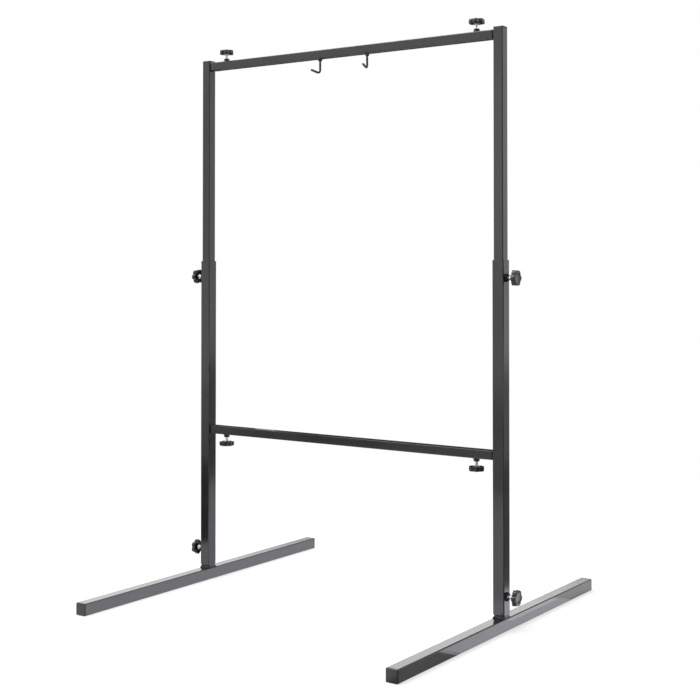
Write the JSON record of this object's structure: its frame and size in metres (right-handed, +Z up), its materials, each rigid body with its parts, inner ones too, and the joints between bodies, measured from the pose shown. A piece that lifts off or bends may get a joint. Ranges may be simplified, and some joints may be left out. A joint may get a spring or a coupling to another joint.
{
  "type": "gong stand",
  "caption": "Free-standing square-tube gong stand with telescopic uprights, sleeved crossbars, star-knob clamps and swivelling gong hooks.",
  "frame": {"origin": "on the floor, midway between the two feet", "axes": "+X along the crossbars to the right, +Y along the feet to the rear, +Z up the uprights"},
  "size_m": [0.991, 0.94, 1.4342],
  "materials": {
    "powder_coat": "satin black powder coat with a fine orange-peel texture",
    "knob_plastic": "moulded black plastic, softly glossy on the lobes",
    "cap_plastic": "matte black moulded plastic",
    "zinc_steel": "bright zinc-plated steel",
    "hook_steel": "black-plated steel wire"
  },
  "bodies": {
    "left_foot": {"foot_tube_left": "powder_coat", "foot_cap_front_left": "cap_plastic", "foot_cap_rear_left": "cap_plastic", "foot_stub_left": "powder_coat", "foot_neck_left": "powder_coat"},
    "left_lower_side": {"lower_upright_left": "powder_coat", "foot_clamp_nut_left": "powder_coat", "telescope_clamp_nut_left": "powder_coat", "lower_bar_stub_left": "powder_coat", "lower_bar_seat_left": "powder_coat", "lower_bar": "powder_coat", "lower_bar_clamp_nut_left": "powder_coat", "lower_bar_clamp_nut_right": "powder_coat"},
    "right_lower_side": {"lower_upright_right": "powder_coat", "foot_clamp_nut_right": "powder_coat", "telescope_clamp_nut_right": "powder_coat", "lower_bar_stub_right": "powder_coat", "lower_bar_seat_right": "powder_coat"},
    "right_foot": {"foot_tube_right": "powder_coat", "foot_cap_front_right": "cap_plastic", "foot_cap_rear_right": "cap_plastic", "foot_stub_right": "powder_coat", "foot_neck_right": "powder_coat"},
    "left_upper_side": {"upper_upright_left": "powder_coat", "upright_cap_left": "cap_plastic", "top_bar_stub_left": "powder_coat", "top_bar_seat_left": "powder_coat", "top_bar": "powder_coat", "top_bar_clamp_nut_left": "powder_coat", "top_bar_clamp_nut_right": "powder_coat"},
    "right_upper_side": {"upper_upright_right": "powder_coat", "upright_cap_right": "cap_plastic", "top_bar_stub_right": "powder_coat", "top_bar_seat_right": "powder_coat"},
    "foot_clamp_screw_left": {"foot_clamp_screw_left": "zinc_steel"},
    "foot_clamp_knob_left": {"foot_clamp_knob_left": "knob_plastic"},
    "foot_clamp_screw_right": {"foot_clamp_screw_right": "zinc_steel"},
    "foot_clamp_knob_right": {"foot_clamp_knob_right": "knob_plastic"},
    "telescope_clamp_screw_left": {"telescope_clamp_screw_left": "zinc_steel"},
    "telescope_clamp_knob_left": {"telescope_clamp_knob_left": "knob_plastic"},
    "telescope_clamp_screw_right": {"telescope_clamp_screw_right": "zinc_steel"},
    "telescope_clamp_knob_right": {"telescope_clamp_knob_right": "knob_plastic"},
    "lower_bar_clamp_screw_left": {"lower_bar_clamp_screw_left": "zinc_steel"},
    "lower_bar_clamp_knob_left": {"lower_bar_clamp_knob_left": "knob_plastic"},
    "lower_bar_clamp_screw_right": {"lower_bar_clamp_screw_right": "zinc_steel"},
    "lower_bar_clamp_knob_right": {"lower_bar_clamp_knob_right": "knob_plastic"},
    "top_bar_clamp_screw_left": {"top_bar_clamp_screw_left": "zinc_steel"},
    "top_bar_clamp_knob_left": {"top_bar_clamp_knob_left": "knob_plastic"},
    "top_bar_clamp_screw_right": {"top_bar_clamp_screw_right": "zinc_steel"},
    "top_bar_clamp_knob_right": {"top_bar_clamp_knob_right": "knob_plastic"},
    "left_hook": {"hook_left": "hook_steel", "hook_lock_nut_left": "hook_steel", "hook_inner_nut_left": "zinc_steel"},
    "right_hook": {"hook_right": "hook_steel", "hook_lock_nut_right": "hook_steel", "hook_inner_nut_right": "zinc_steel"}
  },
  "joints": [
    {"name": "frame_lift", "type": "slide", "parent": "left_foot", "child": "left_lower_side", "axis": [0, 0, 1], "range_m": [0, 0.06]},
    {"name": "right_foot_stay", "type": "slide", "parent": "right_lower_side", "child": "right_foot", "axis": [0, 0, -1], "range_m": [0, 0.06]},
    {"name": "side_spread", "type": "slide", "parent": "left_lower_side", "child": "right_lower_side", "axis": [1, 0, 0], "range_m": [0, 0.07]},
    {"name": "height_slide", "type": "slide", "parent": "left_lower_side", "child": "left_upper_side", "axis": [0, 0, 1], "range_m": [-0.44, 0.2]},
    {"name": "upper_side_spread", "type": "slide", "parent": "left_upper_side", "child": "right_upper_side", "axis": [1, 0, 0], "range_m": [0, 0.07]},
    {"name": "foot_clamp_travel_left", "type": "slide", "parent": "left_lower_side", "child": "foot_clamp_screw_left", "axis": [-1, 0, 0], "range_m": [0, 0.005]},
    {"name": "foot_clamp_turn_left", "type": "hinge", "parent": "foot_clamp_screw_left", "child": "foot_clamp_knob_left", "pos_m": [-0.4835, 0, 0.0805], "axis": [-1, 0, 0], "range_deg": [0, 1440]},
    {"name": "foot_clamp_travel_right", "type": "slide", "parent": "right_lower_side", "child": "foot_clamp_screw_right", "axis": [1, 0, 0], "range_m": [0, 0.005]},
    {"name": "foot_clamp_turn_right", "type": "hinge", "parent": "foot_clamp_screw_right", "child": "foot_clamp_knob_right", "pos_m": [0.4835, 0, 0.0805], "axis": [1, 0, 0], "range_deg": [0, 1440]},
    {"name": "telescope_clamp_travel_left", "type": "slide", "parent": "left_lower_side", "child": "telescope_clamp_screw_left", "axis": [-1, 0, 0], "range_m": [0, 0.005]},
    {"name": "telescope_clamp_turn_left", "type": "hinge", "parent": "telescope_clamp_screw_left", "child": "telescope_clamp_knob_left", "pos_m": [-0.4835, 0, 0.8205], "axis": [-1, 0, 0], "range_deg": [0, 1440]},
    {"name": "telescope_clamp_travel_right", "type": "slide", "parent": "right_lower_side", "child": "telescope_clamp_screw_right", "axis": [1, 0, 0], "range_m": [0, 0.005]},
    {"name": "telescope_clamp_turn_right", "type": "hinge", "parent": "telescope_clamp_screw_right", "child": "telescope_clamp_knob_right", "pos_m": [0.4835, 0, 0.8205], "axis": [1, 0, 0], "range_deg": [0, 1440]},
    {"name": "lower_bar_clamp_travel_left", "type": "slide", "parent": "left_lower_side", "child": "lower_bar_clamp_screw_left", "axis": [0, 0, -1], "range_m": [0, 0.005]},
    {"name": "lower_bar_clamp_turn_left", "type": "hinge", "parent": "lower_bar_clamp_screw_left", "child": "lower_bar_clamp_knob_left", "pos_m": [-0.3845, 0, 0.3765], "axis": [0, 0, -1], "range_deg": [0, 1440]},
    {"name": "lower_bar_clamp_travel_right", "type": "slide", "parent": "left_lower_side", "child": "lower_bar_clamp_screw_right", "axis": [0, 0, -1], "range_m": [0, 0.005]},
    {"name": "lower_bar_clamp_turn_right", "type": "hinge", "parent": "lower_bar_clamp_screw_right", "child": "lower_bar_clamp_knob_right", "pos_m": [0.3845, 0, 0.3765], "axis": [0, 0, -1], "range_deg": [0, 1440]},
    {"name": "top_bar_clamp_travel_left", "type": "slide", "parent": "left_upper_side", "child": "top_bar_clamp_screw_left", "axis": [0, 0, 1], "range_m": [0, 0.005]},
    {"name": "top_bar_clamp_turn_left", "type": "hinge", "parent": "top_bar_clamp_screw_left", "child": "top_bar_clamp_knob_left", "pos_m": [-0.387, 0, 1.4222], "axis": [0, 0, 1], "range_deg": [0, 1440]},
    {"name": "top_bar_clamp_travel_right", "type": "slide", "parent": "left_upper_side", "child": "top_bar_clamp_screw_right", "axis": [0, 0, 1], "range_m": [0, 0.005]},
    {"name": "top_bar_clamp_turn_right", "type": "hinge", "parent": "top_bar_clamp_screw_right", "child": "top_bar_clamp_knob_right", "pos_m": [0.387, 0, 1.4222], "axis": [0, 0, 1], "range_deg": [0, 1440]},
    {"name": "left_hook_swivel", "type": "hinge", "parent": "left_upper_side", "child": "left_hook", "pos_m": [-0.073, 0, 1.3817], "axis": [0, 0, 1], "continuous": true},
    {"name": "right_hook_swivel", "type": "hinge", "parent": "left_upper_side", "child": "right_hook", "pos_m": [0.073, 0, 1.3817], "axis": [0, 0, 1], "continuous": true}
  ],
  "couplings": [
    {"joint": "right_foot_stay", "follows": "frame_lift", "ratio": 1},
    {"joint": "upper_side_spread", "follows": "side_spread", "ratio": 1},
    {"joint": "foot_clamp_travel_left", "follows": "foot_clamp_turn_left", "m_per_rad": 0.00019894},
    {"joint": "foot_clamp_travel_right", "follows": "foot_clamp_turn_right", "m_per_rad": 0.00019894},
    {"joint": "telescope_clamp_travel_left", "follows": "telescope_clamp_turn_left", "m_per_rad": 0.00019894},
    {"joint": "telescope_clamp_travel_right", "follows": "telescope_clamp_turn_right", "m_per_rad": 0.00019894},
    {"joint": "lower_bar_clamp_travel_left", "follows": "lower_bar_clamp_turn_left", "m_per_rad": 0.00019894},
    {"joint": "lower_bar_clamp_travel_right", "follows": "lower_bar_clamp_turn_right", "m_per_rad": 0.00019894},
    {"joint": "top_bar_clamp_travel_left", "follows": "top_bar_clamp_turn_left", "m_per_rad": 0.00019894},
    {"joint": "top_bar_clamp_travel_right", "follows": "top_bar_clamp_turn_right", "m_per_rad": 0.00019894}
  ]
}
